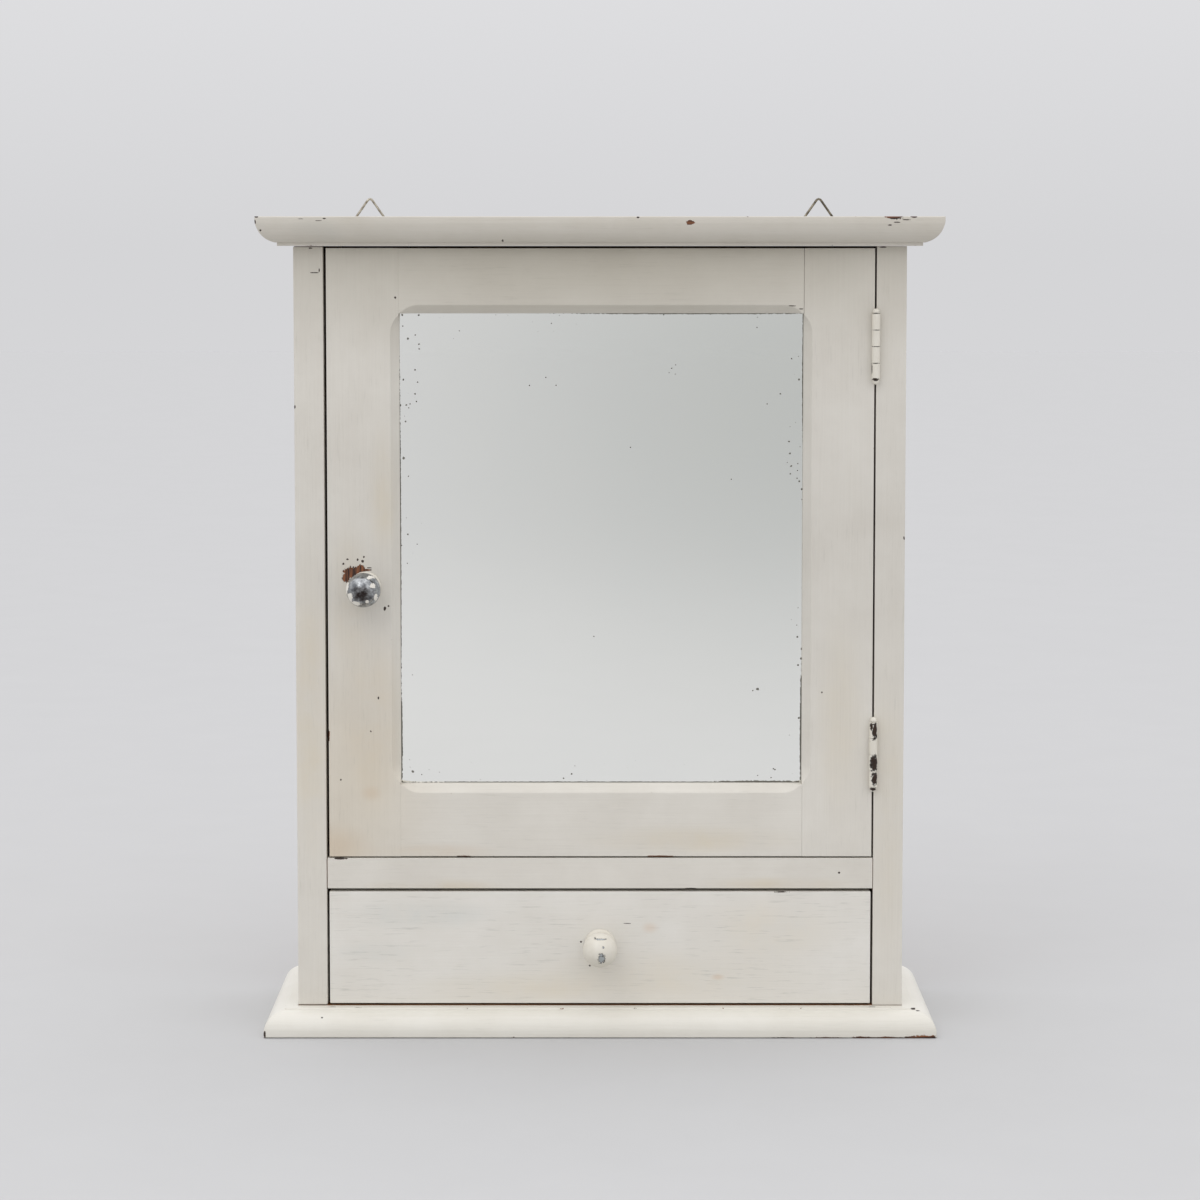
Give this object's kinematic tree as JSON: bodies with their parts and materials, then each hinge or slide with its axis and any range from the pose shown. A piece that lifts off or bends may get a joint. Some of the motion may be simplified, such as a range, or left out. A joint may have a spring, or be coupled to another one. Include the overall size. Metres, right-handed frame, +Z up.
{
  "type": "hanging wall cabinet",
  "caption": "Painted wooden wall cabinet with a moulded cornice and base, a mirrored door hung at the right, a drawer under it, ball knobs and wire hanging rings.",
  "frame": {"origin": "centre of the back panel's rear face, on the plane of the carcass's back", "axes": "+X to the right seen from the front, +Y to the wall, +Z up"},
  "size_m": [0.4452, 0.1635, 0.552],
  "materials": {
    "cream_paint": "thin off-white paint, brushed and worn",
    "bare_wood": "planed, unpainted",
    "plywood": "aged thin board",
    "mirror": "old silvering with black specks",
    "knob_chrome": "worn plating with paint left on it",
    "painted_steel": "painted over, chipped to dark metal",
    "dark_steel": "dull, slightly rusted",
    "zinc": "zinc plated",
    "brown_plastic": "moulded"
  },
  "bodies": {
    "carcass": {"side_board_left": "cream_paint", "side_board_right": "cream_paint", "top_board": "cream_paint", "cornice_front": "cream_paint", "cornice_left": "cream_paint", "cornice_right": "cream_paint", "bottom_board": "cream_paint", "base_moulding_front": "cream_paint", "base_moulding_left": "cream_paint", "base_moulding_right": "cream_paint", "back_panel": "plywood", "mid_rail": "cream_paint", "divider_board": "cream_paint", "door_stop_strip": "cream_paint", "shelf": "cream_paint", "shelf_cleat_left": "cream_paint", "shelf_cleat_right": "cream_paint", "drawer_stop_left": "bare_wood", "drawer_stop_right": "bare_wood", "catch_body": "brown_plastic", "hinge_top_frame_leaf": "painted_steel", "hinge_bottom_frame_leaf": "painted_steel", "hanger_strap_left": "dark_steel", "hanger_strap_right": "dark_steel", "hanger_screw_left": "dark_steel", "hanger_screw_right": "dark_steel"},
    "door": {"door_stile_left": "cream_paint", "door_stile_right": "cream_paint", "door_rail_top": "cream_paint", "door_rail_bottom": "cream_paint", "mirror_plate": "mirror", "mirror_backboard": "plywood", "mirror_bead_left": "bare_wood", "mirror_bead_right": "bare_wood", "mirror_bead_top": "bare_wood", "mirror_bead_bottom": "bare_wood", "door_knob": "knob_chrome", "door_knob_rose": "painted_steel", "door_knob_screw": "zinc", "catch_keeper": "zinc", "catch_keeper_screw": "zinc", "hinge_top_door_leaf": "painted_steel", "hinge_top_pin": "painted_steel", "hinge_bottom_door_leaf": "painted_steel", "hinge_bottom_pin": "painted_steel"},
    "drawer": {"drawer_front": "cream_paint", "drawer_side_left": "bare_wood", "drawer_side_right": "bare_wood", "drawer_back": "bare_wood", "drawer_bottom": "plywood", "drawer_knob": "painted_steel", "drawer_knob_rose": "painted_steel", "drawer_knob_screw": "zinc"},
    "ring_left": {"hanger_ring_left": "dark_steel"},
    "ring_right": {"hanger_ring_right": "dark_steel"}
  },
  "joints": [
    {"name": "door_hinge", "type": "hinge", "parent": "carcass", "child": "door", "pos_m": [0.1799, -0.13295, 0], "axis": [0, 0, 1], "range_deg": [0, 170]},
    {"name": "drawer_slide", "type": "slide", "parent": "carcass", "child": "drawer", "axis": [0, -1, 0], "range_m": [0, 0.1]},
    {"name": "ring_left_swing", "type": "hinge", "parent": "carcass", "child": "ring_left", "pos_m": [-0.1586, 0.0022, 0.2638], "axis": [-1, 0, 0], "range_deg": [0, 170]},
    {"name": "ring_right_swing", "type": "hinge", "parent": "carcass", "child": "ring_right", "pos_m": [0.1508, 0.0022, 0.2638], "axis": [-1, 0, 0], "range_deg": [0, 170]}
  ]
}
